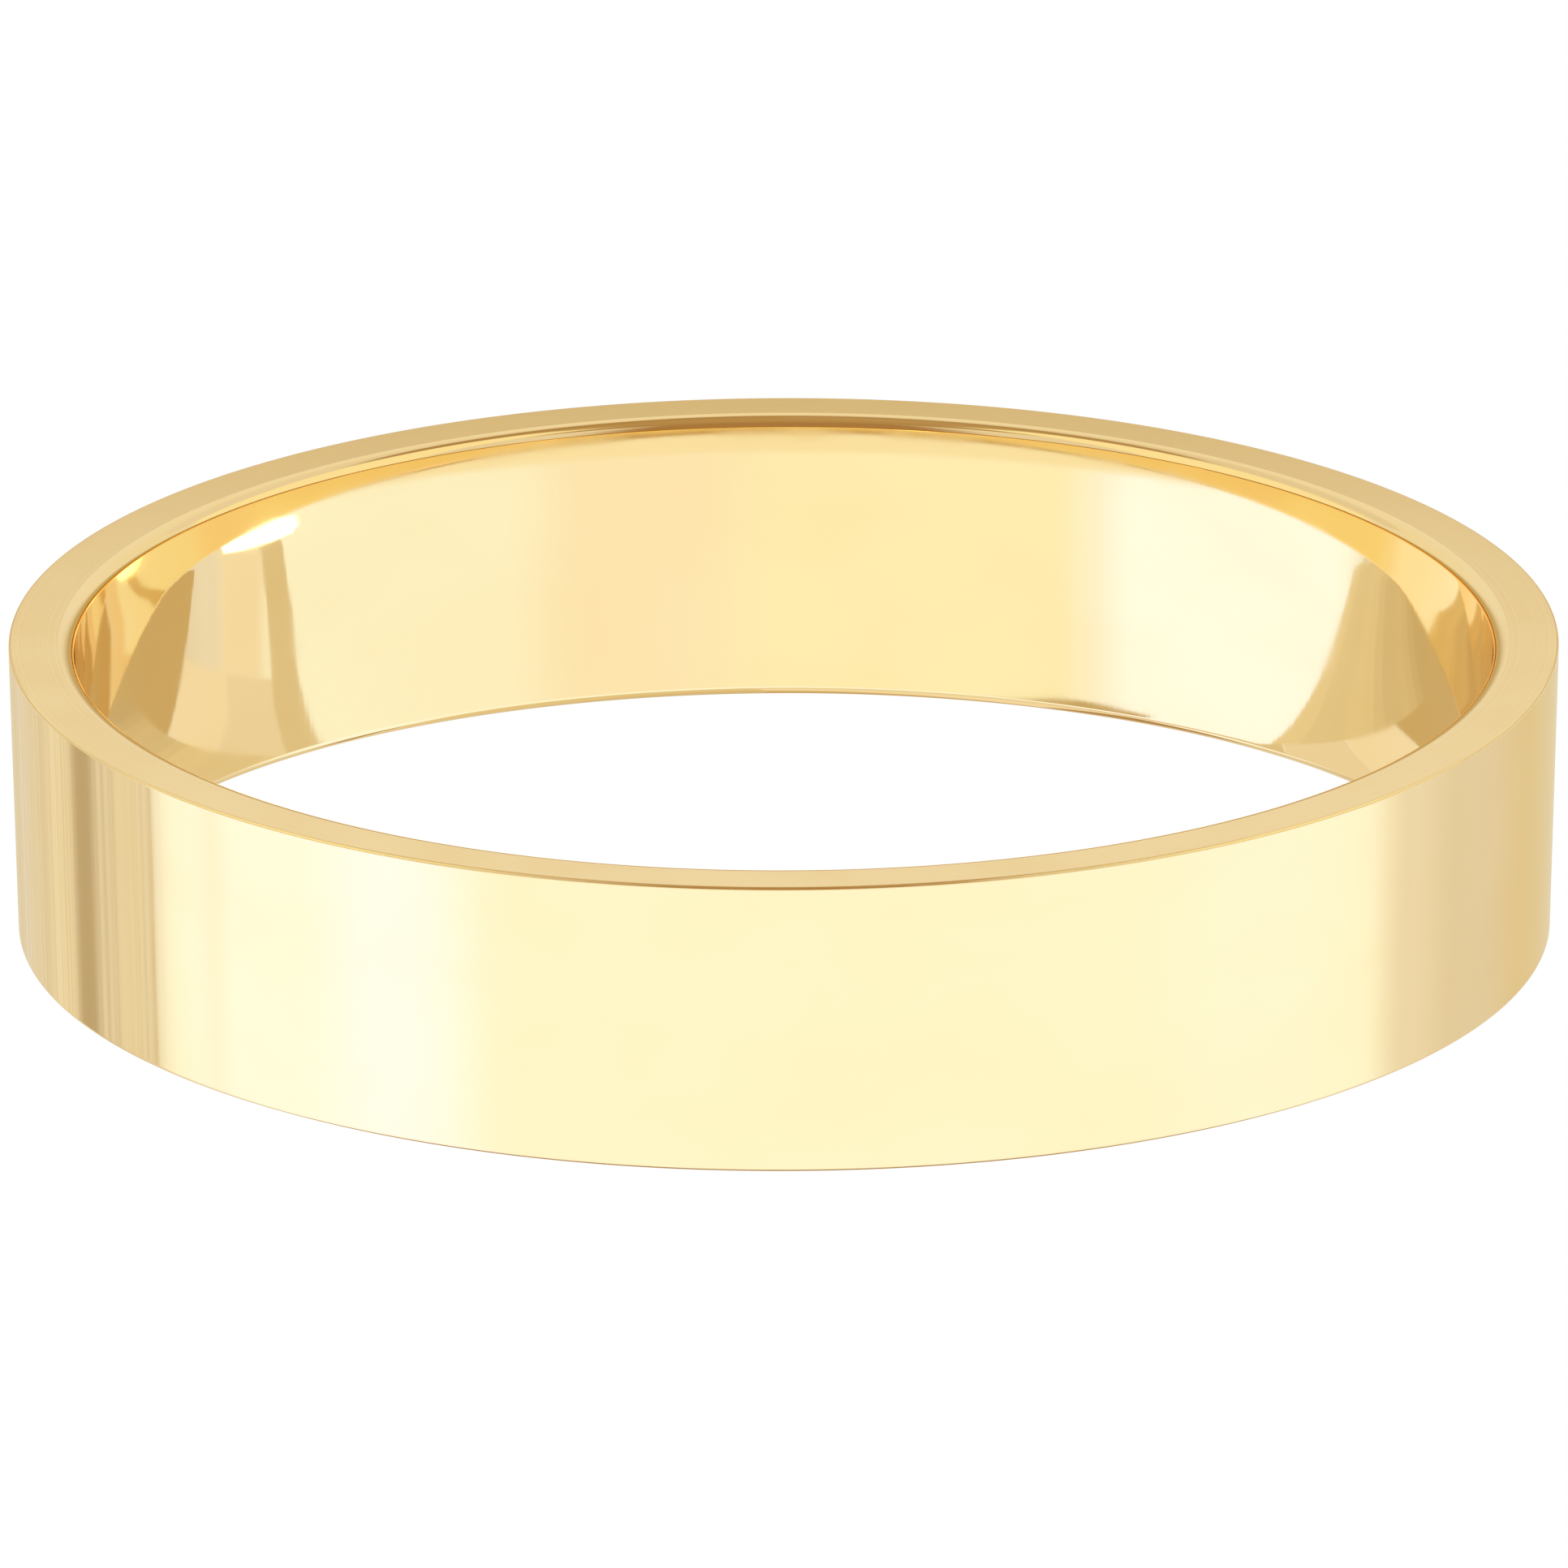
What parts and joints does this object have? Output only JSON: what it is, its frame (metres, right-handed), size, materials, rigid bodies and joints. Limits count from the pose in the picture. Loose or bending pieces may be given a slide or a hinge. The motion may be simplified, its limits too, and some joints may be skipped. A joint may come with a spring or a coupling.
{
  "type": "wedding band",
  "caption": "Plain flat wedding band in polished yellow gold, with a nearly rectangular section, crisp outer edges and eased inner edges.",
  "frame": {"origin": "middle of the lower rim, on the finger's axis, where the band rests when it lies flat", "axes": "+Z along the finger's axis, from the lower rim to the upper rim; X and Y are any two directions across the hole, because the band is round"},
  "size_m": [0.0208, 0.0208, 0.004],
  "materials": {
    "gold": "polished"
  },
  "bodies": {
    "root": {"band": "gold"}
  },
  "joints": []
}
